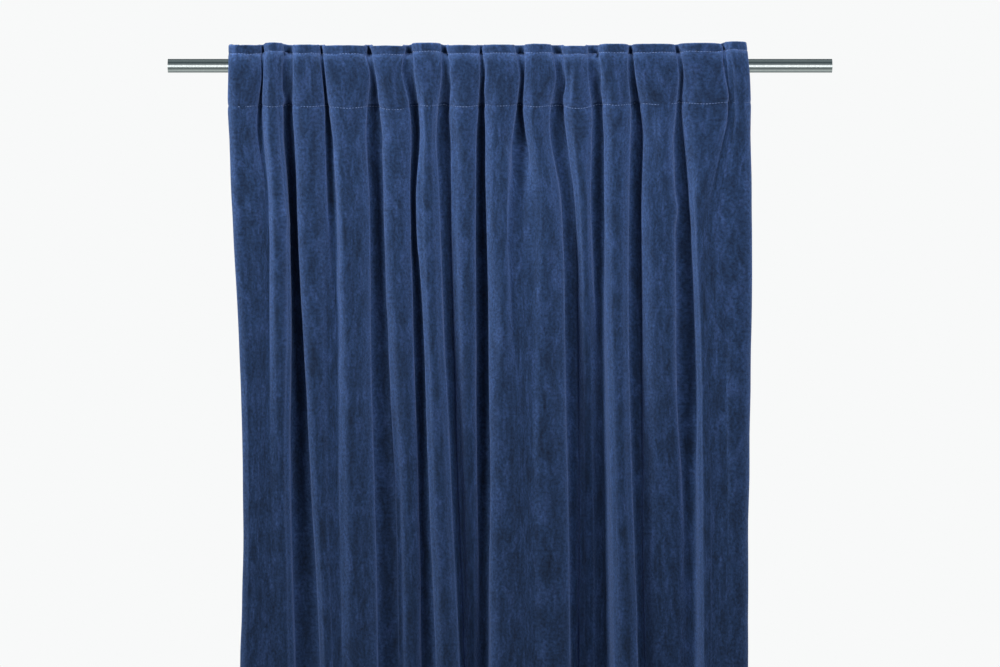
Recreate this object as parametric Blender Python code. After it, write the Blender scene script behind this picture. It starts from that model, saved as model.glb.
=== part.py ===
"""Velvet drape with a rod pocket, gathered on a round steel curtain rod.

Metres, +Z up. The origin is on the rod's axis, half-way along it. The face of the drape looks along -Y.
The drape is one sheet: it rises from the hem, turns over at its top edge and comes down behind the rod
to the lower row of stitches, so the rod lies in the pocket between the two layers.
"""

import math
from collections import namedtuple

import bpy
import numpy as np

MM = 0.001

# ---- Rod
ROD_DIAMETER = 19 * MM
ROD_LENGTH = 920 * MM
ROD_SIDES = 48
SHARP_ANGLE = math.radians(30)

# ---- Cloth
CLOTH_THICKNESS = 2 * MM
FLAT_WIDTH = 1200 * MM  # the width of the panel before it is gathered

# ---- Heights above the rod's axis
TOP_EDGE = 28.5 * MM
HEM = -2470 * MM

# ---- The pocket, between its two rows of stitches, from the lower row to the upper one
LAYER_GAP = 1.4 * MM  # from the middle of the stitched pair to the middle of either layer
PAIR_STARTS = -100 * MM  # below this the front layer hangs on its own
PAIR_CLOSED = -65 * MM
ROD_CLEARANCE = 1.5 * MM
# At each of these heights, in millimetres: how far the front layer's crowns come forward, how far ahead of
# the rod's axis its valleys stay, and how far the back layer goes round the rod, as a share.
POCKET_HEIGHTS = (-56, -30, -6, 6, 13.5, 18)
FRONT_BULGE = (0, 3.6, 6, 5, 2, 0)
FRONT_WALL = (-30, 0.5, 11.7, 11.7, 3, -30)
BACK_OPENING = (0, 0.48, 1, 1, 0.62, 0)

BACK_FLATTENING = 0.55  # how much of the back layer's depth goes where it passes the rod

# ---- The search for the depth of the valleys, as a multiple of the table's
LEAST_DEEPENING = 0.3
MOST_DEEPENING = 3.0
HALVINGS = 40

# ---- One fold, seen from above
EDGE_DROP = 10 * MM  # a fold is widest this far behind its shoulder
EDGE_SHARE = 0.55  # or this share of the way to the valley's floor, where that is less
SHOULDER_SHARE = 0.3  # of that drop, where the crown starts to turn
SHOULDER_INSET = 5 * MM
INSET_SHARE = 0.2  # or this share of the fold's width, where that is less
CROWN_BULGE = 0.06  # the bulge of a crown between its shoulders, as a share of the fold's width
PLAIN_VALLEY = 12 * MM  # a valley's depth is multiplied below this only
FLOOR_SHARE = 0.46  # half the width of a valley's floor, as a share of the valley's mouth
FLOOR_LEAST = 2.5 * MM
FLOOR_MOST = 18 * MM
FULL_FLOOR = 20 * MM  # a valley less deep than this has a narrower floor, so its sides slope softly
SIDE_TURN = 18 * MM  # how far the drape's two side edges turn back
SIDE_INSET = 2 * MM
OUTER_DROP = 9 * MM  # the drape's own two sides are rounder than those between its folds
OUTER_INSET = 6 * MM
OUTER_SHARE = 0.1

# ---- The folds from left to right, in millimetres, at each of these heights. Between them and down to
# the hem the folds run in smooth curves.
LEVELS = (27, -15, -56, -187, -367, -574, -794)
FRONT_PLANE = (-17, -17, -17, -20, -23, -25, -25)  # the foremost crowns
HEM_EVENING = 0.3  # at the hem the folds have spread by this share of the way to an even spacing

# left, right: its two sides. set_back: its left shoulder behind the front plane.
# lean: how much further back its right shoulder lies. valley: the floor of the valley on its right.
Fold = namedtuple("Fold", "left right set_back lean valley")
FOLDS = (
    Fold((-374, -375, -375, -371, -361, -354, -357), (-332, -330, -337, -326, -325, -326, -326),
         (3, 3, 3, 6, 8, 4, 4), (1, 1, 1, 0, 1, 0, 0), (19, 20, 20, 10, 11, 6, 6)),
    Fold((-325, -327, -328, -318, -316, -315, -312), (-302, -302, -302, -295, -290, -291, -285),
         (2, 2, 3, 0, 0, 3, 4), (1, 1, 1, 4, 5, 2, 3), (24, 24, 25, 38, 44, 44, 36)),
    Fold((-286, -286, -286, -282, -272, -263, -250), (-251, -246, -244, -240, -233, -231, -226),
         (1, 1, 1, 1, 3, 5, 6), (1, 1, 2, 5, 8, 5, 4), (22, 22, 22, 20, 14, 11, 11)),
    Fold((-245, -241, -236, -225, -219, -221, -216), (-185, -180, -185, -181, -180, -175, -170),
         (2, 1, 1, 0, 1, 5, 5), (1, 1, 1, 3, 3, -1, -1), (20, 22, 23, 30, 34, 42, 46)),
    Fold((-179, -171, -166, -159, -156, -146, -141), (-132, -136, -127, -124, -120, -114, -110),
         (0, 1, 3, 3, 10, 38, 46), (1, 1, 1, 2, -2, -10, -10), (24, 24, 24, 26, 32, 44, 50)),
    Fold((-121, -118, -112, -114, -106, -98, -90), (-83, -81, -87, -84, -78, -68, -57),
         (0, 0, 0, 0, 0, 0, 0), (0, 0, 0, 0, 0, 0, 0), (21, 22, 24, 28, 38, 48, 54)),
    Fold((-73, -67, -69, -67, -63, -58, -50), (-30, -28, -31, -34, -33, -32, -31),
         (2, 2, 5, 13, 22, 42, 52), (0, 0, -2, -6, -10, -12, -4), (24, 24, 26, 36, 44, 50, 56)),
    Fold((-22, -19, -20, -19, -16, -14, -13), (19, 27, 22, 13, 25, 28, 29),
         (1, 0, 0, 1, 1, 1, 1), (0, 0, 0, 2, 2, 2, 2), (24, 24, 26, 9, 5, 4, 4)),
    Fold((35, 34, 33, 47, 42, 42, 43), (70, 77, 69, 84, 89, 94, 97),
         (0, 0, 2, 1, 3, 3, 3), (1, 1, 1, 0, -2, -2, -2), (23, 24, 24, 24, 44, 56, 60)),
    Fold((86, 92, 90, 104, 109, 111, 111), (121, 122, 126, 127, 132, 136, 138),
         (2, 3, 6, 13, 30, 54, 60), (0, -1, -2, -2, -3, 0, 0), (23, 24, 22, 28, 38, 54, 62)),
    Fold((138, 141, 143, 145, 148, 153, 156), (177, 177, 180, 179, 178, 183, 190),
         (0, 0, 0, 0, 0, 1, 1), (0, 0, 0, 0, 0, 0, 0), (22, 24, 24, 30, 34, 42, 46)),
    Fold((184, 187, 195, 197, 197, 198, 201), (241, 247, 243, 239, 242, 251, 254),
         (1, 1, 4, 5, 13, 36, 42), (0, 0, -2, -2, -8, -12, -9), (20, 19, 18, 26, 32, 38, 40)),
    Fold((249, 254, 253, 262, 270, 273, 275), (305, 307, 312, 289, 293, 297, 297),
         (0, 1, 4, 5, 3, 1, 2), (0, -1, -4, -4, -2, 1, 1), (18, 14, 8, 4, 4, 4, 4)),
    Fold((312, 316, 319, 301, 306, 309, 309), (340, 345, 346, 349, 348, 344, 344),
         (4, 5, 5, 4, 3, 3, 3), (-1, -1, -2, -1, -2, -2, -2), (15, 15, 16, 18, 16, 15, 14)),
)

# ---- The sheet's rows: up the front, over the top edge, and down the back to the turned edge
FRONT_ROWS = (-2470, -1750, -1200, -860, -640, -480, -345, -225, -135, -85, -56, -30, -6, 6, 13.5, 18, 27)
BACK_ROWS = (27, 18, 13.5, 6, -6, -30, -56, -62)

# ---- Finishes: colour, roughness, metallic
VELVET = ((0.035, 0.062, 0.165), 0.9, 0.0)
STEEL = ((0.62, 0.65, 0.66), 0.25, 1.0)


def table_column(values, hem_value, height):
    """A column's value at this height, from a smooth curve through its levels and the hem, in metres."""
    knots = np.array((HEM / MM,) + LEVELS[::-1]) * MM
    column = np.array((hem_value,) + values[::-1]) * MM
    slopes = np.gradient(column, knots)
    height = np.clip(height, knots[0], knots[-1])
    i = min(int(np.searchsorted(knots, height, side="right")) - 1, len(knots) - 2)
    span = knots[i + 1] - knots[i]
    t = (height - knots[i]) / span
    leaving = (1 + 2 * t) * (1 - t) ** 2 * column[i] + t * (1 - t) ** 2 * span * slopes[i]
    arriving = t * t * (3 - 2 * t) * column[i + 1] + t * t * (t - 1) * span * slopes[i + 1]
    return leaving + arriving


def hem_values(name):
    """A table column's values at the hem: those at the lowest level, evened out by HEM_EVENING."""
    lowest = np.array([getattr(fold, name)[-1] for fold in FOLDS], float)
    if name in ("left", "right"):
        even = np.linspace(lowest[0], lowest[-1], len(lowest))
    else:
        even = np.full(len(lowest), lowest.mean())
    return lowest + HEM_EVENING * (even - lowest)


def folds_at(height):
    """Five rows, left, right, set_back, lean and valley, with a value for each fold at this height."""
    columns = []
    for name in ("left", "right", "set_back", "lean", "valley"):
        pairs = zip(FOLDS, hem_values(name))
        columns.append([table_column(getattr(fold, name), hem, height) for fold, hem in pairs])
    return np.array(columns)


def side_of_fold(side, inset, shoulder, drop, share=SHOULDER_SHARE):
    """One side of a fold: its widest point, then its shoulder, which is this far behind Y = 0."""
    return [(side, shoulder + drop), (side + inset, shoulder + share * drop)]


def drop_beside(floor, shoulder):
    """How far behind its shoulder a fold is widest, where its valley's floor is this deep."""
    return min(EDGE_DROP, EDGE_SHARE * max(floor - shoulder, 0))


def outline(folds, front, deepening):
    """The sheet's middle line seen from above, with the valleys' depths multiplied by deepening."""
    lefts, rights, set_backs, leans, valleys = folds
    lefts, rights = lefts + CLOTH_THICKNESS / 2, rights - CLOTH_THICKNESS / 2
    deep_part = np.maximum(valleys - PLAIN_VALLEY, 0)
    floors = front + valleys + (deepening - 1) * deep_part
    shoulders = front + set_backs
    mouths = lefts[1:] - rights[:-1]
    points = [(lefts[0] + SIDE_INSET, shoulders[0] + SIDE_TURN)]
    for i in range(len(FOLDS)):
        width = rights[i] - lefts[i]
        inset = min(SHOULDER_INSET, INSET_SHARE * width)
        if i == 0:
            points += side_of_fold(lefts[i], OUTER_INSET, shoulders[i], OUTER_DROP, OUTER_SHARE)
        else:
            points += side_of_fold(lefts[i], inset, shoulders[i], drop_beside(floors[i - 1], shoulders[i]))
        points.append((lefts[i] + width / 2, shoulders[i] + leans[i] / 2 - CROWN_BULGE * width))
        far = shoulders[i] + leans[i]
        if i == len(mouths):
            points += reversed(side_of_fold(rights[i], -OUTER_INSET, far, OUTER_DROP, OUTER_SHARE))
        else:
            points += reversed(side_of_fold(rights[i], -inset, far, drop_beside(floors[i], far)))
            middle = rights[i] + mouths[i] / 2
            depth = min((floors[i] - far) / FULL_FLOOR, 1)
            half_floor = np.clip(FLOOR_SHARE * depth * mouths[i], FLOOR_LEAST, FLOOR_MOST)
            points.append((middle - half_floor, floors[i]))
            points.append((middle + half_floor, floors[i]))
    points.append((rights[-1] - SIDE_INSET, shoulders[-1] + leans[-1] + SIDE_TURN))
    return np.array(points)


def section(height):
    """The outline at this height, with its valleys as deep as the panel's flat width makes them."""
    folds = folds_at(height)
    front = table_column(FRONT_PLANE, FRONT_PLANE[-1], height)
    shallow, deep = LEAST_DEEPENING, MOST_DEEPENING
    for _ in range(HALVINGS):
        middle = (shallow + deep) / 2
        line = outline(folds, front, middle)
        if np.linalg.norm(np.diff(line, axis=0), axis=1).sum() < FLAT_WIDTH:
            shallow = middle
        else:
            deep = middle
    return outline(folds, front, deep)


def directions(points, axis):
    """The unit direction of the surface at each point along this axis, half-way between its two edges."""
    edges = np.diff(points, axis=axis)
    edges /= np.linalg.norm(edges, axis=-1, keepdims=True)
    first = np.take(edges, [0], axis=axis)
    last = np.take(edges, [-1], axis=axis)
    both = np.concatenate((first, edges), axis=axis) + np.concatenate((edges, last), axis=axis)
    return both / np.linalg.norm(both, axis=-1, keepdims=True)


def round_the_front(line, bulge, wall):
    """The line with its crowns moved forward by bulge and its valleys pressed to at least wall ahead of Y = 0."""
    crown, floor = line[:, 1].min(), line[:, 1].max()
    new_crown, new_floor = crown - bulge, min(floor, -wall)
    depths = (line[:, 1] - crown) / (floor - crown)
    return np.column_stack((line[:, 0], new_crown + depths * (new_floor - new_crown)))


def sheet_row(height, layer):
    """One row of the sheet's middle surface. The layer is 1 for the front, -1 for the back, 0 for the top."""
    line = section(height)
    along = directions(line, 0)
    forward = np.column_stack((along[:, 1], -along[:, 0]))
    if layer > 0:
        bulge = np.interp(height / MM, POCKET_HEIGHTS, FRONT_BULGE) * MM
        wall = np.interp(height / MM, POCKET_HEIGHTS, FRONT_WALL) * MM
        line = round_the_front(line, bulge, wall)
        opening = bulge / MM / max(FRONT_BULGE)
    else:
        opening = np.interp(height / MM, POCKET_HEIGHTS, BACK_OPENING) * abs(layer)
        beside_rod = ROD_DIAMETER / 2 + ROD_CLEARANCE + CLOTH_THICKNESS / 2
        nearest = line[:, 1].min()
        depths = (line[:, 1] - nearest) * (1 - BACK_FLATTENING * opening)
        line[:, 1] = nearest + opening * (beside_rod - nearest) + depths
    pairing = np.interp(height, (PAIR_STARTS, PAIR_CLOSED), (0, 1)) * (1 - opening)
    line = line + layer * pairing * LAYER_GAP * forward
    return np.column_stack((line, np.full(len(line), height)))


def closed_sheet(middle):
    """Vertices and faces of a sheet of CLOTH_THICKNESS round the middle surface, a grid of points."""
    rows, columns, _ = middle.shape
    normals = np.cross(directions(middle, 1), directions(middle, 0))
    normals /= np.linalg.norm(normals, axis=2, keepdims=True)
    outer = middle + normals * CLOTH_THICKNESS / 2
    inner = middle - normals * CLOTH_THICKNESS / 2
    vertices = np.concatenate((outer.reshape(-1, 3), inner.reshape(-1, 3)))
    number = np.arange(2 * rows * columns).reshape(2, rows, columns)
    faces = []
    for r in range(rows - 1):
        for c in range(columns - 1):
            below, above = ((r, c), (r, c + 1)), ((r + 1, c), (r + 1, c + 1))
            for corners in ((*below, above[1]), (below[0], above[1], above[0])):
                faces.append([number[0][corner] for corner in corners])
                faces.append([number[1][corner] for corner in reversed(corners)])
    rim = [(r, 0) for r in range(rows)]
    rim += [(rows - 1, c) for c in range(1, columns)]
    rim += [(r, columns - 1) for r in range(rows - 2, -1, -1)]
    rim += [(0, c) for c in range(columns - 2, 0, -1)]
    for here, there in zip(rim, rim[1:] + rim[:1]):
        faces.append([number[0][here], number[0][there], number[1][there], number[1][here]])
    return vertices, faces


def new_material(name, colour, roughness, metallic):
    material = bpy.data.materials.new(name)
    material.use_nodes = True
    shader = material.node_tree.nodes["Principled BSDF"]
    shader.inputs["Base Color"].default_value = (*colour, 1)
    shader.inputs["Roughness"].default_value = roughness
    shader.inputs["Metallic"].default_value = metallic
    return material


def make_drape():
    rows = [sheet_row(height * MM, 1) for height in FRONT_ROWS]
    rows.append(sheet_row(TOP_EDGE, 0))
    rows += [sheet_row(height * MM, -1) for height in BACK_ROWS]
    vertices, faces = closed_sheet(np.array(rows))
    mesh = bpy.data.meshes.new("drape")
    mesh.from_pydata(vertices.tolist(), [], [[int(v) for v in face] for face in faces])
    mesh.materials.append(new_material("velvet", *VELVET))
    mesh.shade_smooth()
    drape = bpy.data.objects.new("drape", mesh)
    bpy.context.collection.objects.link(drape)


def make_rod():
    lying_along_x = (0, math.pi / 2, 0)
    bpy.ops.mesh.primitive_cylinder_add(
        vertices=ROD_SIDES, radius=ROD_DIAMETER / 2, depth=ROD_LENGTH, rotation=lying_along_x
    )
    rod = bpy.context.object
    rod.name = "rod"
    rod.data.materials.append(new_material("steel", *STEEL))
    rod.data.shade_smooth()
    rod.data.set_sharp_from_angle(angle=SHARP_ANGLE)


for old in list(bpy.data.objects):
    bpy.data.objects.remove(old)
make_drape()
make_rod()
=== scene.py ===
"""The looks of a velvet drape gathered on a steel curtain rod.

Metres, +Z up, on the frame that the CAD model gives: the rod's axis is the X axis and the drape faces -Y.
The drape is rebuilt as one fine sheet on the same folds, with its stitches, hems and creases.
"""

import math
from collections import namedtuple

import bpy
import numpy as np
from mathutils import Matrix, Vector, noise


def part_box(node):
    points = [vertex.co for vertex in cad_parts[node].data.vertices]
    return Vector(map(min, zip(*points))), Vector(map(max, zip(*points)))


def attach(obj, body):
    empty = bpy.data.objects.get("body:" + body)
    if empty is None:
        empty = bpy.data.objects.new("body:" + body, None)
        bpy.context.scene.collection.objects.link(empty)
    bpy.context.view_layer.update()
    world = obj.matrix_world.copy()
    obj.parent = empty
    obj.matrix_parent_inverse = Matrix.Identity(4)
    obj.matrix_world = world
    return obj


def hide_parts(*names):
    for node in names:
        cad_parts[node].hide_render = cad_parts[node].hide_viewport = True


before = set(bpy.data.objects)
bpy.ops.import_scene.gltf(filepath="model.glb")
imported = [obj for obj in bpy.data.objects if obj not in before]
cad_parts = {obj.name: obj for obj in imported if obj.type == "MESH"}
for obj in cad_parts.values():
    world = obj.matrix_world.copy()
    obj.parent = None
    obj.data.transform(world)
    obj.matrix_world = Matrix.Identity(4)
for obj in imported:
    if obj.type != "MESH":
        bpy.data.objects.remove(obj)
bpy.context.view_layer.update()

MM = 0.001
NEARLY_NOTHING = 1e-9  # no edge counts as shorter than this, in metres
CLOTH_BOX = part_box("drape")
ROD_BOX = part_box("rod")
ROD_RADIUS = (ROD_BOX[1].z - ROD_BOX[0].z) / 2
HEM = CLOTH_BOX[0].z

# ---- The panel as it was cut
THICKNESS = 1.8 * MM
FLAT_WIDTH = 1200 * MM

# ---- The folds from left to right, in millimetres, at each of these heights over the rod's axis
LEVELS = (27, -15, -56, -187, -367, -574, -794)
FRONT_PLANE = (-17, -17, -17, -20, -23, -25, -25)  # the foremost crowns
HEM_EVENING = 0.3  # at the hem the folds have spread by this share of the way to an even spacing

# left, right: its two sides. set_back: its left shoulder behind the front plane.
# lean: how much further back its right shoulder lies. valley: the floor of the valley on its right.
# top, seam: how far its top edge and its lower stitches ride above or below the common height.
Fold = namedtuple("Fold", "left right set_back lean valley top seam")
FOLDS = (
    Fold((-374, -375, -375, -371, -361, -354, -357), (-332, -330, -337, -326, -325, -326, -326),
         (3, 3, 3, 6, 8, 4, 4), (1, 1, 1, 0, 1, 0, 0), (19, 20, 20, 10, 11, 6, 6), -1.5, 0),
    Fold((-325, -327, -328, -318, -316, -315, -312), (-302, -302, -302, -295, -290, -291, -285),
         (2, 2, 3, 0, 0, 3, 4), (1, 1, 1, 4, 5, 2, 3), (24, 24, 25, 38, 44, 44, 36), 2, 0),
    Fold((-286, -286, -286, -282, -272, -263, -250), (-251, -246, -244, -240, -233, -231, -226),
         (1, 1, 1, 1, 3, 5, 6), (1, 1, 2, 5, 8, 5, 4), (22, 22, 22, 20, 14, 11, 11), -1, 0),
    Fold((-245, -241, -236, -225, -219, -221, -216), (-185, -180, -185, -181, -180, -175, -170),
         (2, 1, 1, 0, 1, 5, 5), (1, 1, 1, 3, 3, -1, -1), (20, 22, 23, 30, 34, 42, 46), -2, -2),
    Fold((-179, -171, -166, -159, -156, -146, -141), (-132, -136, -127, -124, -120, -114, -110),
         (0, 1, 3, 3, 10, 38, 46), (1, 1, 1, 2, -2, -10, -10), (24, 24, 24, 26, 32, 44, 50), -2.5, -4),
    Fold((-121, -118, -112, -114, -106, -98, -90), (-83, -81, -87, -84, -78, -68, -57),
         (0, 0, 0, 0, 0, 0, 0), (0, 0, 0, 0, 0, 0, 0), (21, 22, 24, 28, 38, 48, 54), 1.5, 1),
    Fold((-73, -67, -69, -67, -63, -58, -50), (-30, -28, -31, -34, -33, -32, -31),
         (2, 2, 5, 13, 22, 42, 52), (0, 0, -2, -6, -10, -12, -4), (24, 24, 26, 36, 44, 50, 56), -1.5, 0),
    Fold((-22, -19, -20, -19, -16, -14, -13), (19, 27, 22, 13, 25, 28, 29),
         (1, 0, 0, 1, 1, 1, 1), (0, 0, 0, 2, 2, 2, 2), (24, 24, 26, 9, 5, 4, 4), -1, 1),
    Fold((35, 34, 33, 47, 42, 42, 43), (70, 77, 69, 84, 89, 94, 97),
         (0, 0, 2, 1, 3, 3, 3), (1, 1, 1, 0, -2, -2, -2), (23, 24, 24, 24, 44, 56, 60), 0, 0),
    Fold((86, 92, 90, 104, 109, 111, 111), (121, 122, 126, 127, 132, 136, 138),
         (2, 3, 6, 13, 30, 54, 60), (0, -1, -2, -2, -3, 0, 0), (23, 24, 22, 28, 38, 54, 62), -2.5, -2),
    Fold((138, 141, 143, 145, 148, 153, 156), (177, 177, 180, 179, 178, 183, 190),
         (0, 0, 0, 0, 0, 1, 1), (0, 0, 0, 0, 0, 0, 0), (22, 24, 24, 30, 34, 42, 46), 0, 2),
    Fold((184, 187, 195, 197, 197, 198, 201), (241, 247, 243, 239, 242, 251, 254),
         (1, 1, 4, 5, 13, 36, 42), (0, 0, -2, -2, -8, -12, -9), (20, 19, 18, 26, 32, 38, 40), 0, 3),
    Fold((249, 254, 253, 262, 270, 273, 275), (305, 307, 312, 289, 293, 297, 297),
         (0, 1, 4, 5, 3, 1, 2), (0, -1, -4, -4, -2, 1, 1), (18, 14, 8, 4, 4, 4, 4), 1, 4),
    Fold((312, 316, 319, 301, 306, 309, 309), (340, 345, 346, 349, 348, 344, 344),
         (4, 5, 5, 4, 3, 3, 3), (-1, -1, -2, -1, -2, -2, -2), (15, 15, 16, 18, 16, 15, 14), 3.5, 5),
)

# ---- The search for the depth of the valleys, as a multiple of the table's
LEAST_DEEPENING = 0.3
MOST_DEEPENING = 3.0
HALVINGS = 30

# ---- One fold, seen from above
EDGE_DROP = 10 * MM  # a fold is widest this far behind its shoulder
EDGE_SHARE = 0.55  # or this share of the way to the valley's floor, where that is less
SHOULDER_SHARE = 0.3  # of that drop, where the crown starts to turn
SHOULDER_INSET = 5 * MM
INSET_SHARE = 0.2  # or this share of the fold's width, where that is less
REACH = 0.35  # from a fold's side to where its bulge is full, as a share of its width
CROWN_BULGE = 0.06  # the bulge of a crown between its shoulders, as a share of the fold's width
PLAIN_VALLEY = 12 * MM  # a valley's depth is multiplied below this only
FLOOR_SHARE = 0.46  # half the width of a valley's floor, as a share of the valley's mouth
FLOOR_LEAST = 2.5 * MM
FLOOR_MOST = 18 * MM
FULL_FLOOR = 20 * MM  # a valley less deep than this has a narrower floor, so its sides slope softly
SIDE_TURN = 18 * MM  # how far the drape's two side edges turn back
SIDE_INSET = 2 * MM
OUTER_DROP = 9 * MM  # the drape's own two sides are rounder than those between its folds
OUTER_INSET = 6 * MM
OUTER_SHARE = 0.1

# ---- The pocket, between its two rows of stitches, from the lower row to the upper one
TOP_EDGE = 28.5 * MM
UPPER_STITCHES = 17 * MM
LOWER_STITCHES = -56 * MM
TURNED_EDGE = -62 * MM
LAYER_GAP = 1.4 * MM  # from the middle of the stitched pair to the middle of either layer
PAIR_HEIGHTS = (-100, -65)  # in millimetres: between these the front layer joins the stitched pair
ROD_CLEARANCE = 1.5 * MM
# At each of these heights, in millimetres: how far the front layer's crowns come forward, how far ahead of
# the rod's axis its valleys stay, and how far the back layer goes round the rod, as a share.
POCKET_HEIGHTS = (-56, -50, -42, -34, -24, -16, -8, 0, 6, 10, 13.5, 16, 18)
FRONT_BULGE = (0, 0.6, 1.8, 3, 4.5, 5.5, 6, 6, 5, 3.5, 2, 0.8, 0)
FRONT_WALL = (-30, -8.4, -4.8, -1.3, 3.1, 6.9, 10.8, 11.9, 11, 7.5, 3, -4, -30)
BACK_OPENING = (0, 0.11, 0.26, 0.41, 0.6, 0.77, 0.93, 1, 1, 0.86, 0.6, 0.25, 0)
BACK_FLATTENING = 0.55  # how much of the back layer's depth goes where it passes the rod

# ---- How finely the sheet is divided
STEPS_EDGE = 3
STEPS_CROWN = 4
STEPS_FRONT = 4
STEPS_WALL = 2
STEPS_FLOOR = 2
STEPS_SIDE = 2
ROW_BANDS = (  # from, to, step, in millimetres over the rod's axis
    (-2470, -2390, 8),
    (-2390, -890, 75),
    (-890, -250, 20),
    (-250, -74, 8),
    (-74, -60, 3.5),
    (-60, -51, 1.5),
    (-51, -22, 5),
    (-22, 6, 7),
    (6, 15, 3),
    (15, 19.5, 1.1),
    (19.5, 27, 2.5),
)
BACK_BANDS = (
    (27, 15, -3),
    (15, 6, -3),
    (6, -50, -8),
    (-50, -62, -3),
)
TURN_STEPS = 5

# ---- Stitching, in two rows through the heading and one along the bottom hem
STITCH_PITCH = 4.2 * MM
STITCH_LENGTH = 3.0 * MM
STITCH_RADIUS = 0.33 * MM
STITCH_BED = 0.25 * MM  # how deep the stitches lie in the pile
STITCH_UNEVEN = 0.8 * MM  # how much deeper some of them are pulled in
UNEVEN_SPAN = 20 * MM
STITCH_RISE = 1.1 * STITCH_RADIUS  # from the bed to the middle of the thread
STITCH_SIDES = 6
# The rings of a stitch: how far along it each lies and how thick it is there, as shares.
STITCH_RINGS = ((0, 0.35), (0.12, 0.85), (0.5, 1), (0.88, 0.85), (1, 0.35))
SIDE_HEM = 25 * MM
BOTTOM_HEM = 80 * MM

# ---- Relief on the smooth folds. Each size of unevenness is across the cloth, then down it.
STITCH_SINKS = ((LOWER_STITCHES, 0.7 * MM), (UPPER_STITCHES, 0.4 * MM))
SINK_WIDTH = 2.2 * MM
PUCKER = 0.8 * MM
PUCKER_REACH = 8 * MM
PUCKER_SIZE = (7 * MM, 30 * MM)
FINE_PUCKER_SIZE = (3.6 * MM, 18 * MM)
FINE_PUCKER_SHARE = 0.6
LOOSE_BELOW = -160 * MM  # the cloth hangs quite free of the heading's gathers here
SLACK = 2.0 * MM
SLACK_SIZE = (42 * MM, 190 * MM)
FINE_SLACK = 0.8 * MM
FINE_SLACK_SIZE = (16 * MM, 60 * MM)
HEADING_SLACK_SHARE = 0.25  # the stitched heading is less slack than the free cloth
HEM_SINK = 0.6 * MM
HEM_STEP = 0.6 * MM
HEM_STEP_REACH = 2 * MM
SIDE_SINK_WIDTH = 1.6 * MM
BOTTOM_SINK_WIDTH = 5 * MM

# ---- How the top edge and the lower stitches ride up and down from fold to fold
DROOP = 2.4 * MM  # how far the lower stitches hang down in the middle of a fold
VALLEY_RISE = 2.5 * MM  # and how far they rise in a valley
HUMP_POWER = 1.5
TOP_RIDES_FROM, TOP_RIDES_BY = -40 * MM, 15 * MM
SEAM_RIDES_FROM = -200 * MM
CLEAR_OF_ROD = -12 * MM  # cloth this far ahead of the rod's axis is free to ride down

# ---- Creases pressed into the front, in millimetres: from x, z to x, z, how wide, and how far out, or in
# where that is below 0
Crease = namedtuple("Crease", "x z to_x to_z width height")
CREASES = (
    Crease(-350, 20, -341, 7, 5, -2.7),
    Crease(-302, 16, -295, -32, 4, 2.4),
    Crease(-295, -32, -301, -47, 4, 2.7),
    Crease(-316, -90, -306, -215, 8, 4.5),
    Crease(-306, -215, -303, -380, 9, 4.6),
    Crease(322, -420, 318, -800, 16, 3.5),
    Crease(-219, -130, -213, -300, 8, 4.4),
    Crease(-213, -300, -209, -420, 9, 4.4),
    Crease(-116, -110, -111, -260, 5, 2.0),
    Crease(-355, -60, -348, -330, 9, -2.1),
    Crease(-272, 14, -266, -50, 6, -2.4),
    Crease(-228, 12, -206, -30, 6, -2.1),
    Crease(-208, -90, -200, -360, 9, -2.0),
    Crease(-112, 16, -100, -20, 5, -2.2),
    Crease(52, 18, 56, -44, 6, -2.2),
    Crease(108, 6, 101, -52, 5, 2.5),
    Crease(160, 14, 168, -40, 5, -2.1),
    Crease(205, 16, 215, -30, 7, -2.4),
    Crease(262, 18, 283, -44, 6, 2.4),
    Crease(322, 18, 333, -22, 5, 2.7),
    Crease(-258, -330, -251, -380, 8, 2.2),
    Crease(-209, -420, -203, -800, 11, 4.6),
    Crease(-184, 13, -199, -23, 6, -2.7),
    Crease(-136, -20, -132, -52, 4, 2.6),
    Crease(-146, 8, -141, -48, 5, -2.7),
    Crease(-156, -120, -152, -330, 6, 2.4),
    Crease(-62, -2, -72, -26, 5, 2.2),
    Crease(-60, -110, -52, -190, 9, -2.7),
    Crease(-22, 22, -14, -2, 4, 2.2),
    Crease(-14, -2, -20, -36, 4, 2.0),
    Crease(5, -130, 6, -400, 7, 6.0),
    Crease(29, -125, 28, -250, 9, -5.0),
    Crease(10, -250, 37, -273, 8, -2.7),
    Crease(20, -470, 15, -640, 12, 2.2),
    Crease(60, -260, 58, -520, 12, 2.6),
    Crease(58, -520, 62, -800, 14, 2.2),
    Crease(92, -2, 86, -26, 5, 2.2),
    Crease(86, -26, 92, -50, 5, 2.0),
    Crease(135, 22, 147, -15, 5, 2.2),
    Crease(147, -15, 142, -33, 5, 2.0),
    Crease(226, -90, 236, -200, 9, 4.0),
    Crease(236, -200, 232, -440, 9, 4.0),
    Crease(212, -60, 214, -180, 8, -2.2),
    Crease(290, 10, 272, -17, 6, -2.7),
    Crease(306, 22, 309, -40, 6, 2.4),
    Crease(309, -40, 303, -80, 7, 2.2),
    Crease(303, -80, 279, -184, 9, 3.0),
    Crease(306, -300, 305, -345, 11, 3.2),
    Crease(284, -300, 288, -520, 9, -2.7),
)

# ---- Colours of the nap, and of the painted sheen
NAP_DARK = "#18273f"
NAP_MIDDLE = "#23385a"
NAP_LIGHT = "#354b77"
PAINTED_SHEEN_COLOUR = "#435d8d"  # painted sheen: a paler colour added to the pile's colour where the surface turns away from the eye
SHEEN_STARTS, SHEEN_FULL = 0.03, 0.6  # how far it has turned away by then
SHEEN_MOST = 0.68
SHEEN = "#a9bcec"

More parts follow.
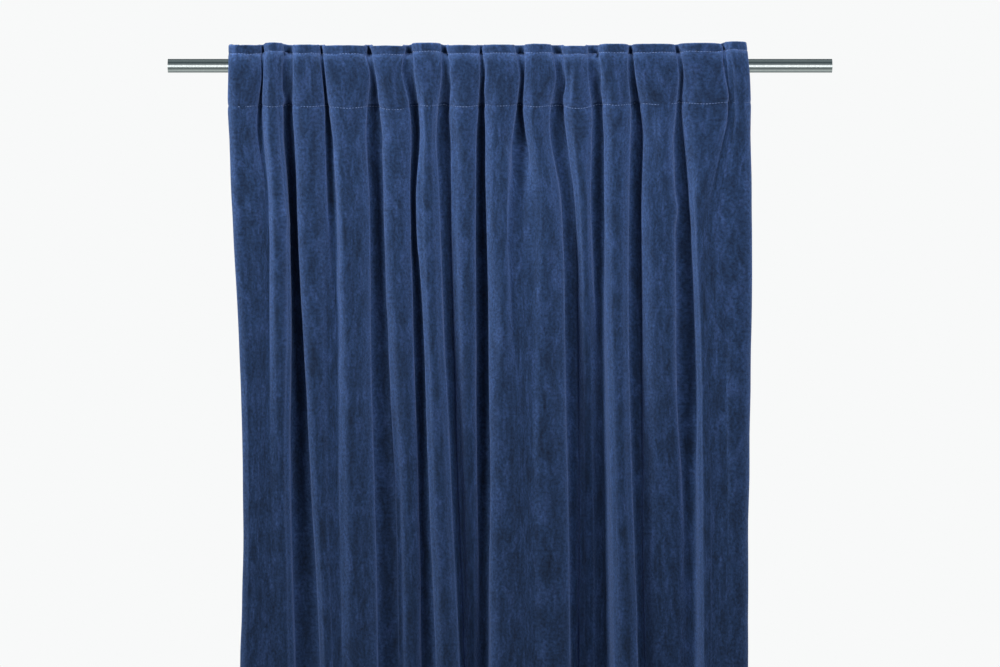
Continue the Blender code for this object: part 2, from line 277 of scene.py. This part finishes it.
# ---- Sizes of the patterns in the finishes, across the cloth or the rod and then along it
NAP_PATCH = (12 * MM, 40 * MM)
NAP_STREAK = (5 * MM, 28 * MM)
TUFT = (3 * MM, 4.2 * MM)
STROKED_DEPTH = 4 * MM
TUFT_DEPTH = 1.2 * MM
PLY_TURN = 0.7 * MM
DRAWN_LINE = (1.5 * MM, 1.5 * MM, 60 * MM)
DRAWN_DEPTH = 0.2 * MM
PULP_CLOUD = 40 * MM

# ---- The studio
FLOOR_SIDE = 8.0
FLOOR_GAP = 8 * MM
SENSOR = 36.0
CAMERA_DISTANCE = 6.0
CROWNS_AHEAD = 25 * MM
VIEW_WIDTH = 1.38 * CAMERA_DISTANCE / (CAMERA_DISTANCE - CROWNS_AHEAD)  # 1.38 m at the drape's crowns
VIEW_HEIGHT = -371 * MM
ROOM_LIGHT = 0.6
BEHIND = "#f8f9f9"
ROOM_BANDS = (  # the room's brightness from straight down to straight up
    (0.0, "#c6ccc9"), (0.07, "#a0a8a6"), (0.16, "#889294"), (0.29, "#d2dad8"), (0.43, "#f2f5f5"),
    (0.57, "#f2f5f5"), (0.71, "#9ba7aa"), (0.84, "#7d8a8e"), (0.93, "#4c5a5f"), (1.0, "#a9b6b8"),
)
# A light for the cloth lights every surface and isn't mirrored, one for the steel is only mirrored, and one
# for the floor lights the floor alone.
LIGHTS = (  # name, place, aim, width, height, spread in degrees, power, colour, what it is for
    ("key", (-1.35, -1.25, 0.85), (0, 0, 0.05), 0.8, 0.8, 85, 14.0, "#ffffff", "cloth"),
    ("fill", (0.85, -1.7, 0.75), (0, 0, 0.05), 1.0, 0.9, 85, 11.0, "#f6f8ff", "cloth"),
    ("rod_strip", (0, -1.6, -0.30), (0, 0, 0), 3.2, 0.50, 180, 8.0, "#ffffff", "steel"),
    ("low_panel", (0, 0.1, -1.5), (0, 0, 0), 3.2, 1.2, 180, 3.0, "#f4faf8", "steel"),
    ("backdrop", (0.6, 2.6, 0.4), (0, 0, -1.6), 2.4, 1.6, 180, 130.0, "#ffffff", "cloth"),
    ("overhead", (0, 0, 3.5), (0, 0, -2.5), 7.0, 7.0, 180, 150.0, "#ffffff", "floor"),
)


# ---------------------------------------------------------------- the folds

def table_column(values, hem_value, height):
    """A column's value at this height, from a smooth curve through its levels and the hem, in metres."""
    knots = np.array((HEM / MM,) + LEVELS[::-1]) * MM
    column = np.array((hem_value,) + values[::-1]) * MM
    slopes = np.gradient(column, knots)
    height = np.clip(height, knots[0], knots[-1])
    i = min(int(np.searchsorted(knots, height, side="right")) - 1, len(knots) - 2)
    span = knots[i + 1] - knots[i]
    t = (height - knots[i]) / span
    leaving = (1 + 2 * t) * (1 - t) ** 2 * column[i] + t * (1 - t) ** 2 * span * slopes[i]
    arriving = t * t * (3 - 2 * t) * column[i + 1] + t * t * (t - 1) * span * slopes[i + 1]
    return leaving + arriving


def hem_values(name):
    """A table column's values at the hem: those at the lowest level, evened out by HEM_EVENING."""
    lowest = np.array([getattr(fold, name)[-1] for fold in FOLDS], float)
    if name in ("left", "right"):
        even = np.linspace(lowest[0], lowest[-1], len(lowest))
    else:
        even = np.full(len(lowest), lowest.mean())
    return lowest + HEM_EVENING * (even - lowest)


def folds_at(height):
    """Five rows, left, right, set_back, lean and valley, with a value for each fold at this height."""
    columns = []
    for name in ("left", "right", "set_back", "lean", "valley"):
        pairs = zip(FOLDS, hem_values(name))
        columns.append([table_column(getattr(fold, name), hem, height) for fold, hem in pairs])
    return np.array(columns)


def side_of_fold(side, inset, shoulder, drop, share=SHOULDER_SHARE):
    """One side of a fold: its widest point, then its shoulder, which is this far behind Y = 0."""
    return [(side, shoulder + drop), (side + inset, shoulder + share * drop)]


def drop_beside(floor, shoulder):
    """How far behind its shoulder a fold is widest, where its valley's floor is this deep."""
    return min(EDGE_DROP, EDGE_SHARE * max(floor - shoulder, 0))


def outline(folds, front, deepening):
    """The sheet's middle line seen from above, with the valleys' depths multiplied by deepening."""
    lefts, rights, set_backs, leans, valleys = folds
    lefts, rights = lefts + THICKNESS / 2, rights - THICKNESS / 2
    deep_part = np.maximum(valleys - PLAIN_VALLEY, 0)
    floors = front + valleys + (deepening - 1) * deep_part
    shoulders = front + set_backs
    mouths = lefts[1:] - rights[:-1]
    points = [(lefts[0] + SIDE_INSET, shoulders[0] + SIDE_TURN)]
    for i in range(len(FOLDS)):
        width = rights[i] - lefts[i]
        inset = min(SHOULDER_INSET, INSET_SHARE * width)
        bulge = CROWN_BULGE * width
        if i == 0:
            points += side_of_fold(lefts[i], OUTER_INSET, shoulders[i], OUTER_DROP, OUTER_SHARE)
        else:
            points += side_of_fold(lefts[i], inset, shoulders[i], drop_beside(floors[i - 1], shoulders[i]))
        points.append((lefts[i] + REACH * width, shoulders[i] + REACH * leans[i] - bulge))
        points.append((rights[i] - REACH * width, shoulders[i] + (1 - REACH) * leans[i] - bulge))
        far = shoulders[i] + leans[i]
        if i == len(mouths):
            points += reversed(side_of_fold(rights[i], -OUTER_INSET, far, OUTER_DROP, OUTER_SHARE))
        else:
            points += reversed(side_of_fold(rights[i], -inset, far, drop_beside(floors[i], far)))
            middle = rights[i] + mouths[i] / 2
            depth = min((floors[i] - far) / FULL_FLOOR, 1)
            half_floor = np.clip(FLOOR_SHARE * depth * mouths[i], FLOOR_LEAST, FLOOR_MOST)
            points.append((middle - half_floor, floors[i]))
            points.append((middle + half_floor, floors[i]))
    points.append((rights[-1] - SIDE_INSET, shoulders[-1] + leans[-1] + SIDE_TURN))
    return np.array(points)


def section(height):
    """The outline at this height, with its valleys as deep as the panel's flat width makes them."""
    folds = folds_at(height)
    front = table_column(FRONT_PLANE, FRONT_PLANE[-1], height)
    shallow, deep = LEAST_DEEPENING, MOST_DEEPENING
    for _ in range(HALVINGS):
        middle = (shallow + deep) / 2
        line = outline(folds, front, middle)
        if np.linalg.norm(np.diff(line, axis=0), axis=1).sum() < FLAT_WIDTH:
            shallow = middle
        else:
            deep = middle
    return outline(folds, front, deep)


def steps_along():
    """How many steps each stretch of the outline gets, in the outline's own order."""
    one_fold = [STEPS_EDGE, STEPS_CROWN, STEPS_FRONT, STEPS_CROWN, STEPS_EDGE]
    one_valley = [STEPS_WALL, STEPS_FLOOR, STEPS_WALL]
    middle = (one_fold + one_valley) * (len(FOLDS) - 1) + one_fold
    return [STEPS_SIDE] + middle + [STEPS_SIDE]


def smooth_line(points, steps):
    """A smooth curve through the points, with this many steps between each two."""
    ends = (2 * points[0] - points[1], 2 * points[-1] - points[-2])
    padded = np.vstack((ends[0], points, ends[1]))
    knots = np.concatenate(([0], np.sqrt(np.linalg.norm(np.diff(padded, axis=0), axis=1)).cumsum()))
    made = []
    for i, count in enumerate(steps, start=1):
        a, b, c, d = padded[i - 1:i + 3]
        ka, kb, kc, kd = knots[i - 1:i + 3]
        for k in np.linspace(kb, kc, count, endpoint=False):
            ab = a + (b - a) * (k - ka) / (kb - ka)
            bc = b + (c - b) * (k - kb) / (kc - kb)
            cd = c + (d - c) * (k - kc) / (kd - kc)
            abc = ab + (bc - ab) * (k - ka) / (kc - ka)
            bcd = bc + (cd - bc) * (k - kb) / (kd - kb)
            made.append(abc + (bcd - abc) * (k - kb) / (kc - kb))
    made.append(points[-1])
    return np.array(made)


# ---------------------------------------------------------------- the sheet

# layer: 1 in front, -1 at the back, 0 over the top edge. turn: from 1 in front to -1 at the back.
Row = namedtuple("Row", "height layer turn")


def bands(table):
    """The heights that a table of from, to and step gives, without the last one."""
    return [height * MM for low, high, step in table for height in np.arange(low, high, step)]


def sheet_rows():
    """Every row of the sheet, up the front, over the top edge and down the back."""
    turn_centre = TOP_EDGE - LAYER_GAP
    rows = [Row(height, 1, 1) for height in bands(ROW_BANDS)]
    for angle in np.linspace(0, math.pi, TURN_STEPS + 2):
        rows.append(Row(turn_centre + LAYER_GAP * math.sin(angle), 0, math.cos(angle)))
    rows += [Row(height, -1, -1) for height in bands(BACK_BANDS)[1:]]
    rows.append(Row(TURNED_EDGE, -1, -1))
    return rows


def smooth_share(value, start, end):
    """0 at start, 1 at end, with a smooth run between."""
    share = np.clip((value - start) / (end - start), 0, 1)
    return share * share * (3 - 2 * share)


def fold_lifts(name, line, folds, droop=0, rise=0):
    """How far each point of this line rides up, by a column of the table, less the droop in the middle of a
    fold and plus the rise in the middle of a valley."""
    xs, lifts = [], []
    for left, right, fold in zip(folds[0], folds[1], FOLDS):
        xs += [left, right]
        lifts += [getattr(fold, name) * MM] * 2
    level = np.interp(line[:, 0], xs, lifts)
    place = np.interp(line[:, 0], xs, np.arange(len(xs)))
    hump = np.sin(math.pi * (place % 1)) ** HUMP_POWER
    return level + np.where(place.astype(int) % 2 == 0, -droop, rise) * hump


def directions(points, axis):
    """The unit direction of the surface at each point along this axis, half-way between its two edges."""
    edges = np.diff(points, axis=axis)
    edges /= np.maximum(np.linalg.norm(edges, axis=-1, keepdims=True), NEARLY_NOTHING)
    first = np.take(edges, [0], axis=axis)
    last = np.take(edges, [-1], axis=axis)
    both = np.concatenate((first, edges), axis=axis) + np.concatenate((edges, last), axis=axis)
    return both / np.maximum(np.linalg.norm(both, axis=-1, keepdims=True), NEARLY_NOTHING)


def round_the_front(line, bulge, wall):
    """The line with its crowns moved forward by bulge, and its valleys pressed to at least wall ahead of
    Y = 0."""
    crown, floor = line[:, 1].min(), line[:, 1].max()
    new_crown, new_floor = crown - bulge, min(floor, -wall)
    depths = (line[:, 1] - crown) / (floor - crown)
    return np.column_stack((line[:, 0], new_crown + depths * (new_floor - new_crown)))


def row_points(row):
    """The middle surface's points along one row."""
    height = row.height
    line = smooth_line(section(height), steps_along())
    along = directions(line, 0)
    forward = np.column_stack((along[:, 1], -along[:, 0]))
    if row.layer > 0:
        bulge = np.interp(height / MM, POCKET_HEIGHTS, FRONT_BULGE) * MM
        wall = np.interp(height / MM, POCKET_HEIGHTS, FRONT_WALL) * MM
        line = round_the_front(line, bulge, wall)
        opening = bulge / max(FRONT_BULGE) / MM
    else:
        opening = np.interp(height / MM, POCKET_HEIGHTS, BACK_OPENING) * abs(row.layer)
        beside_rod = ROD_RADIUS + ROD_CLEARANCE + THICKNESS / 2
        nearest = line[:, 1].min()
        depths = (line[:, 1] - nearest) * (1 - BACK_FLATTENING * opening)
        line[:, 1] = nearest + opening * (beside_rod - nearest) + depths
    pairing = np.interp(height / MM, PAIR_HEIGHTS, (0, 1)) * (1 - opening)
    folds = folds_at(height)
    at_top = smooth_share(height, TOP_RIDES_FROM, TOP_RIDES_BY)
    at_seam = smooth_share(height, SEAM_RIDES_FROM, LOWER_STITCHES) * (1 - at_top)
    lift = at_top * fold_lifts("top", line, folds)
    lift = lift + at_seam * fold_lifts("seam", line, folds, DROOP, VALLEY_RISE)
    ahead_of_rod = smooth_share(line[:, 1], 0, CLEAR_OF_ROD) if row.layer >= 0 else 0
    lift = np.where(lift < 0, lift * ahead_of_rod, lift)
    line = line + row.turn * pairing * LAYER_GAP * forward
    return np.column_stack((line, height + lift))


def noise_at(us, vs, size, seed):
    """Smooth noise between about -1 and 1 over two arrays, with features of this size."""
    flat = zip(us.ravel() / size[0], vs.ravel() / size[1])
    values = [noise.noise(Vector((u, v, seed))) for u, v in flat]
    return np.array(values).reshape(us.shape)


def groove(distance, width):
    """1 on a line, falling smoothly to 0 at about twice this width from it."""
    return np.exp(-(distance / width) ** 2)


def pressed(middle, crease):
    """How far a crease moves each point of the middle surface, as a soft ridge or trough."""
    x, z, to_x, to_z, width, height = (value * MM for value in crease)
    length = math.hypot(to_x - x, to_z - z)
    way = ((to_x - x) / length, (to_z - z) / length)
    from_start = (middle[:, :, 0] - x, middle[:, :, 2] - z)
    along = from_start[0] * way[0] + from_start[1] * way[1]
    aside = from_start[0] * way[1] - from_start[1] * way[0]
    past_end = np.maximum(np.maximum(-along, along - length), 0) / 2
    return height * groove(np.hypot(aside, past_end), width)


def relief(middle, across, heights, layers):
    """How far each point stands out of the smooth folds. Across is the flat distance from the left edge."""
    out = np.zeros(middle.shape[:2])
    hanging = heights[:, None] + out
    across = across + out
    for row_height, sink in STITCH_SINKS:
        away = hanging - row_height
        gathers = noise_at(across, away, PUCKER_SIZE, 3.1)
        gathers += FINE_PUCKER_SHARE * noise_at(across, away, FINE_PUCKER_SIZE, 7.7)
        out += PUCKER * gathers * np.exp(-np.abs(away) / PUCKER_REACH)
        out -= sink * groove(away, SINK_WIDTH)
    loose = smooth_share(hanging, LOWER_STITCHES, LOOSE_BELOW)
    out += loose * SLACK * noise_at(across, hanging, SLACK_SIZE, 1.3)
    fine_share = HEADING_SLACK_SHARE + (1 - HEADING_SLACK_SHARE) * loose
    out += fine_share * FINE_SLACK * noise_at(across, hanging, FINE_SLACK_SIZE, 5.2)
    edge = np.minimum(across, FLAT_WIDTH - across)
    out -= HEM_SINK * groove(edge - SIDE_HEM, SIDE_SINK_WIDTH)
    out += HEM_STEP * smooth_share(edge, SIDE_HEM + HEM_STEP_REACH, SIDE_HEM - HEM_STEP_REACH)
    in_front = (layers[:, None] > 0) * 1.0
    out -= in_front * HEM_SINK * groove(hanging - HEM - BOTTOM_HEM, BOTTOM_SINK_WIDTH)
    for crease in CREASES:
        out += in_front * pressed(middle, crease)
    return out


def closed_sheet(middle, out):
    """A closed sheet round the middle surface, a grid of points that are first moved out along their
    normals: the points of its outer and inner side, and its faces."""
    rows, columns, _ = middle.shape
    normals = np.cross(directions(middle, 1), directions(middle, 0))
    normals /= np.linalg.norm(normals, axis=2, keepdims=True)
    middle = middle + normals * out[:, :, None]
    outer = middle + normals * THICKNESS / 2
    inner = middle - normals * THICKNESS / 2
    number = np.arange(2 * rows * columns).reshape(2, rows, columns)
    grid = number[0]
    quads = np.stack((grid[:-1, :-1], grid[:-1, 1:], grid[1:, 1:], grid[1:, :-1]), axis=-1)
    faces = quads.reshape(-1, 4).tolist()
    faces += (quads + rows * columns)[:, :, ::-1].reshape(-1, 4).tolist()
    rim = [(r, 0) for r in range(rows)]
    rim += [(rows - 1, c) for c in range(1, columns)]
    rim += [(r, columns - 1) for r in range(rows - 2, -1, -1)]
    rim += [(0, c) for c in range(columns - 2, 0, -1)]
    for here, there in zip(rim, rim[1:] + rim[:1]):
        faces.append([int(number[k][spot]) for k, spot in ((0, here), (0, there), (1, there), (1, here))])
    return outer, inner, faces


def lengths_along(points, axis):
    """The distance walked along this axis to each point of a grid."""
    edges = np.linalg.norm(np.diff(points, axis=axis), axis=-1)
    start = np.zeros_like(np.take(edges, [0], axis=axis))
    return np.concatenate((start, edges.cumsum(axis=axis)), axis=axis)


def new_piece(name, vertices, faces, material):
    """A mesh object that rides on the part's body and takes its finish from this slot."""
    mesh = bpy.data.meshes.new(name)
    mesh.from_pydata([tuple(map(float, v)) for v in vertices], [], faces)
    mesh.materials.append(material)
    mesh.shade_smooth()
    piece = bpy.data.objects.new(name, mesh)
    bpy.context.collection.objects.link(piece)
    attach(piece, "root")
    return piece


def lay_flat_map(piece, across, along):
    """A UV map in metres of flat cloth, so that patterns follow the cloth and not the room."""
    flat = np.stack(np.meshgrid(across, along), axis=-1).reshape(-1, 2)
    both = np.concatenate((flat, flat))
    loops = np.empty(len(piece.data.loops), np.int32)
    piece.data.loops.foreach_get("vertex_index", loops)
    layer = piece.data.uv_layers.new(name="flat_cloth")
    layer.data.foreach_set("uv", both[loops].ravel())


# ---------------------------------------------------------------- stitches

def stitch_rows(outer, rows):
    """The lines of stitching, as points on the cloth's outer face with their normals: two on the front and
    two on the turned-down layer, and one at the bottom hem. The side hems are stitched blind, so no thread
    shows there."""
    heights = np.array([row.height for row in rows])
    layers = np.array([row.layer for row in rows])
    normals = np.cross(directions(outer, 1), directions(outer, 0))
    walks = []
    places = [(height, layer) for height in (LOWER_STITCHES, UPPER_STITCHES) for layer in (1, -1)]
    for height, layer in places + [(HEM + BOTTOM_HEM, 1)]:
        nearest = int(np.argmin(np.where(layers == layer, np.abs(heights - height), np.inf)))
        walks.append((outer[nearest], normals[nearest]))
    return walks


def one_stitch(start, way, out, bed):
    """A short thread lying along the cloth in a bed this deep, as rings of points from one end to the other."""
    side = np.cross(way, out)
    rings = []
    for share, size in STITCH_RINGS:
        centre = start + way * share * STITCH_LENGTH + out * (STITCH_RISE * size - bed)
        for turn in range(STITCH_SIDES):
            angle = 2 * math.pi * turn / STITCH_SIDES
            rings.append(centre + STITCH_RADIUS * size * (math.cos(angle) * side + math.sin(angle) * out))
    return rings


def stitch_faces(first):
    """The faces of one stitch, whose points start at this number."""
    gaps = len(STITCH_RINGS) - 1
    faces = []
    for ring in range(gaps):
        for turn in range(STITCH_SIDES):
            a = first + ring * STITCH_SIDES + turn
            b = first + ring * STITCH_SIDES + (turn + 1) % STITCH_SIDES
            faces.append([b, a, a + STITCH_SIDES, b + STITCH_SIDES])
    faces.append([first + turn for turn in range(STITCH_SIDES)])
    last = first + gaps * STITCH_SIDES
    faces.append([last + turn for turn in reversed(range(STITCH_SIDES))])
    return faces


def make_stitches(walks, material):
    """All the stitches of the drape as one mesh."""
    vertices, faces = [], []
    for points, normals in walks:
        walked = np.concatenate(([0], np.linalg.norm(np.diff(points, axis=0), axis=1).cumsum()))
        for start in np.arange(STITCH_PITCH, walked[-1] - STITCH_PITCH, STITCH_PITCH):
            here, there, out = (
                np.array([np.interp(at, walked, field[:, k]) for k in range(3)])
                for at, field in ((start, points), (start + STITCH_LENGTH, points), (start, normals))
            )
            way = (there - here) / np.linalg.norm(there - here)
            out -= way * out.dot(way)
            out /= np.linalg.norm(out)
            first = len(vertices)
            sunk = STITCH_UNEVEN * max(noise.noise(Vector(here / UNEVEN_SPAN)), 0)
            vertices += one_stitch(here, way, out, STITCH_BED + sunk)
            faces += stitch_faces(first)
    return new_piece("heading_and_hem_stitches", vertices, faces, material)


# ---------------------------------------------------------------- materials

def linear(hex_colour):
    """An sRGB hex colour as linear RGBA."""
    channels = [int(hex_colour[i:i + 2], 16) / 255 for i in (1, 3, 5)]
    made = [c / 12.92 if c <= 0.04045 else ((c + 0.055) / 1.055) ** 2.4 for c in channels]
    return (*made, 1.0)


def add(tree, kind, inputs=(), stops=(), **settings):
    """A node with its settings, its inputs set to values or linked from sockets, and its colour stops."""
    node = tree.nodes.new("ShaderNode" + kind)
    for name, value in settings.items():
        setattr(node, name, value)
    for name, value in dict(inputs).items():
        if isinstance(value, bpy.types.NodeSocket):
            tree.links.new(value, node.inputs[name])
        else:
            node.inputs[name].default_value = value
    for number, (place, colour) in enumerate(stops):
        elements = node.color_ramp.elements
        element = elements[number] if number < len(elements) else elements.new(place)
        element.position = place
        element.color = linear(colour)
    return node


def new_material(name, **settings):
    """A material with a Principled shader, whose sockets are set by name with _ for a space."""
    material = bpy.data.materials.new(name)
    material.use_nodes = True
    shader = material.node_tree.nodes["Principled BSDF"]
    for socket, value in settings.items():
        shader.inputs[socket.replace("_", " ")].default_value = value
    return material, material.node_tree, shader


def pattern(tree, place, size, **inputs):
    """A cloudy pattern over this place, whose patches are this wide and long in metres."""
    scale = tuple(1 / side for side in size) + (1 / size[-1],) * (3 - len(size))
    at = add(tree, "Mapping", {"Vector": place, "Scale": scale})
    return add(tree, "TexNoise", {"Vector": at.outputs["Vector"], "Scale": 1.0, **inputs}).outputs["Fac"]


def cotton_velvet():
    """Dyed cotton velvet, woven and cut: a dense upright pile, dark when looked into, with a painted sheen that
    makes it paler where it turns away, mottled where the nap is stroked one way or the other."""
    material, tree, shader = new_material(
        "cotton_velvet_pile",
        Roughness=0.9,
        Specular_IOR_Level=0.12,
        Sheen_Weight=0.25,
        Sheen_Roughness=0.55,
        Sheen_Tint=linear(SHEEN),
    )
    flat = add(tree, "UVMap", uv_map="flat_cloth").outputs["UV"]
    # Stroked nap lies in patches about 12 mm wide and 40 mm long, and in streaks 5 mm wide.
    patches = pattern(tree, flat, NAP_PATCH, Detail=6.0, Roughness=0.66, Distortion=0.5)
    streaks = pattern(tree, flat, NAP_STREAK, Detail=3.0)
    # The pile's tufts are about 0.4 mm; they are drawn 3 mm, the finest that shows.
    pile = pattern(tree, flat, TUFT, Detail=3.0, Roughness=0.6)
    nap_colours = ((0.30, NAP_DARK), (0.50, NAP_MIDDLE), (0.72, NAP_LIGHT))
    nap = add(tree, "ValToRGB", {"Fac": patches}, nap_colours).outputs["Color"]
    streak_shades = ((0.30, "#d8d8d8"), (0.70, "#ffffff"))
    streaked = add(tree, "ValToRGB", {"Fac": streaks}, streak_shades).outputs["Color"]
    pile_shades = ((0.28, "#989898"), (0.72, "#ffffff"))
    tufts = add(tree, "ValToRGB", {"Fac": pile}, pile_shades).outputs["Color"]
    multiply = {"data_type": "RGBA", "blend_type": "MULTIPLY"}
    dyed = add(tree, "Mix", {0: 1.0, 6: nap, 7: streaked}, **multiply).outputs[2]
    # Painted sheen: where the cloth turns away from the eye, a paler colour is added to its base colour, for
    # the lit pile sides.
    turned = add(tree, "LayerWeight", {"Blend": 0.5}).outputs["Facing"]
    painted_sheen_share = add(tree, "MapRange", {
        "Value": turned, "From Min": SHEEN_STARTS, "From Max": SHEEN_FULL, "To Max": SHEEN_MOST,
    }).outputs["Result"]
    lit = add(tree, "Mix", {0: painted_sheen_share, 6: dyed, 7: linear(PAINTED_SHEEN_COLOUR)},
              data_type="RGBA", blend_type="ADD").outputs[2]
    shaded = add(tree, "Mix", {0: 1.0, 6: lit, 7: tufts}, **multiply).outputs[2]
    tree.links.new(shaded, shader.inputs["Base Color"])
    stroked = add(tree, "Bump", {"Height": patches, "Strength": 0.6, "Distance": STROKED_DEPTH})
    tufted = add(tree, "Bump", {
        "Height": pile, "Strength": 0.5, "Distance": TUFT_DEPTH, "Normal": stroked.outputs["Normal"],
    })
    tree.links.new(tufted.outputs["Normal"], shader.inputs["Normal"])
    return material


def sewing_thread():
    """Spun polyester sewing thread, dyed to match and a little paler than the pile round it."""
    material, tree, shader = new_material("polyester_thread", Roughness=0.6, Sheen_Weight=0.3)
    place = add(tree, "TexCoord").outputs["Object"]
    # The two plies turn about once in 0.7 mm.
    plies = add(tree, "TexNoise", {"Vector": place, "Scale": 1 / PLY_TURN, "Detail": 1.0})
    thread = add(tree, "ValToRGB", {"Fac": plies.outputs["Fac"]}, ((0.35, "#3f5279"), (0.65, "#6f84ac")))
    tree.links.new(thread.outputs["Color"], shader.inputs["Base Color"])
    return material


def drawn_steel():
    """Stainless steel tube, drawn and satin polished along its length: clear long reflections with faint
    lines that run with the tube."""
    material, tree, shader = new_material("satin_stainless_steel", Metallic=1.0, Roughness=0.16)
    place = add(tree, "TexCoord").outputs["Object"]
    # The drawing lines are about 0.1 mm apart; they are drawn 1.5 mm, the finest that shows.
    # The rod's own length is its Z.
    lines = pattern(tree, place, DRAWN_LINE, Detail=2.0)
    steel = add(tree, "ValToRGB", {"Fac": lines}, ((0.3, "#c3cacb"), (0.7, "#d9dfdf")))
    tree.links.new(steel.outputs["Color"], shader.inputs["Base Color"])
    brushed = add(tree, "Bump", {"Height": lines, "Strength": 0.03, "Distance": DRAWN_DEPTH})
    tree.links.new(brushed.outputs["Normal"], shader.inputs["Normal"])
    return material


def matt_paper():
    """A studio floor of matt paper: pale and even, with no shine."""
    material, tree, shader = new_material("matt_paper", Roughness=1.0, Specular_IOR_Level=0.1)
    place = add(tree, "TexCoord").outputs["Object"]
    # Paper pulp is cloudy over about 40 mm.
    pulp = add(tree, "TexNoise", {"Vector": place, "Scale": 1 / PULP_CLOUD, "Detail": 2.0})
    paper = add(tree, "ValToRGB", {"Fac": pulp.outputs["Fac"]}, ((0.3, "#dadada"), (0.7, "#dedede")))
    tree.links.new(paper.outputs["Color"], shader.inputs["Base Color"])
    return material


# ---------------------------------------------------------------- the drape and the rod

def make_drape():
    """The drape as one sheet in the place of the CAD's, with the stitches that lie on it."""
    rows = sheet_rows()
    middle = np.array([row_points(row) for row in rows])
    heights = np.array([row.height for row in rows])
    layers = np.array([row.layer for row in rows])
    across = lengths_along(middle, 1).mean(axis=0)
    along = lengths_along(middle, 0).mean(axis=1)
    outer, inner, faces = closed_sheet(middle, relief(middle, across, heights, layers))
    vertices = np.concatenate((outer.reshape(-1, 3), inner.reshape(-1, 3)))
    drape = new_piece("velvet_drape", vertices, faces, cotton_velvet())
    lay_flat_map(drape, across, along)
    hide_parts("drape")
    stitches = make_stitches(stitch_rows(outer, rows), sewing_thread())


def finish_rod():
    """The rod keeps the CAD's shape and takes its steel."""
    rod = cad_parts["rod"]
    rod.data.materials.clear()
    rod.data.materials.append(drawn_steel())


# ---------------------------------------------------------------- the studio

def make_floor():
    """A wide sheet of matt paper just under the hem."""
    bpy.ops.mesh.primitive_plane_add(size=FLOOR_SIDE, location=(0, 0, HEM - FLOOR_GAP))
    floor = bpy.context.object
    floor.name = "studio_floor"
    floor.data.materials.append(matt_paper())
    # The floor is lit apart from the object, so its paleness reaches neither the cloth nor the steel.
    floor.visible_diffuse = False
    floor.visible_glossy = False
    floor_only = bpy.data.collections.new("floor_only")
    floor_only.objects.link(floor)


def make_light(name, place, aim, width, height, spread, power, colour, lights):
    """A rectangular soft light that faces its aim, with a honeycomb grid where its spread is narrow."""
    data = bpy.data.lights.new(name, "AREA")
    data.shape = "RECTANGLE"
    data.size, data.size_y = width, height
    data.energy = power
    data.spread = math.radians(spread)
    data.color = linear(colour)[:3]
    light = bpy.data.objects.new(name, data)
    light.location = place
    light.rotation_euler = (Vector(aim) - Vector(place)).to_track_quat("-Z", "Y").to_euler()
    light.visible_camera = False
    light.visible_glossy = lights == "steel"
    light.visible_diffuse = lights != "steel"
    if lights == "floor":
        light.light_linking.receiver_collection = bpy.data.collections["floor_only"]
    bpy.context.collection.objects.link(light)


def make_world():
    """A pale studio: an even white behind the object, and a dimmer room round it that lights it softly."""
    world = bpy.data.worlds.new("pale_studio")
    bpy.context.scene.world = world
    world.use_nodes = True
    tree = world.node_tree
    tree.nodes.clear()
    way = add(tree, "TexCoord").outputs["Generated"]
    up = add(tree, "SeparateXYZ", {0: way}).outputs["Z"]
    height = add(tree, "MapRange", {"Value": up, "From Min": -1.0, "From Max": 1.0})
    room = add(tree, "ValToRGB", {"Fac": height.outputs["Result"]}, ROOM_BANDS).outputs["Color"]
    seen = add(tree, "Background", {"Color": linear(BEHIND), "Strength": 1.0})
    lit = add(tree, "Background", {"Color": room, "Strength": ROOM_LIGHT})
    camera_sees = add(tree, "LightPath").outputs["Is Camera Ray"]
    both = add(tree, "MixShader", {0: camera_sees, 1: lit.outputs[0], 2: seen.outputs[0]})
    add(tree, "OutputWorld", {"Surface": both.outputs[0]})


def make_camera():
    """A level camera straight in front of the drape, aimed at the part that hangs just below the rod."""
    data = bpy.data.cameras.new("camera")
    data.sensor_width = SENSOR
    data.lens = SENSOR * CAMERA_DISTANCE / VIEW_WIDTH
    camera = bpy.data.objects.new("camera", data)
    camera.location = (0, -CAMERA_DISTANCE, VIEW_HEIGHT)
    camera.rotation_euler = (math.pi / 2, 0, 0)
    bpy.context.collection.objects.link(camera)
    bpy.context.scene.camera = camera


make_drape()
finish_rod()
make_floor()
make_world()
for light in LIGHTS:
    make_light(*light)
make_camera()
bpy.context.scene.view_settings.view_transform = "Standard"
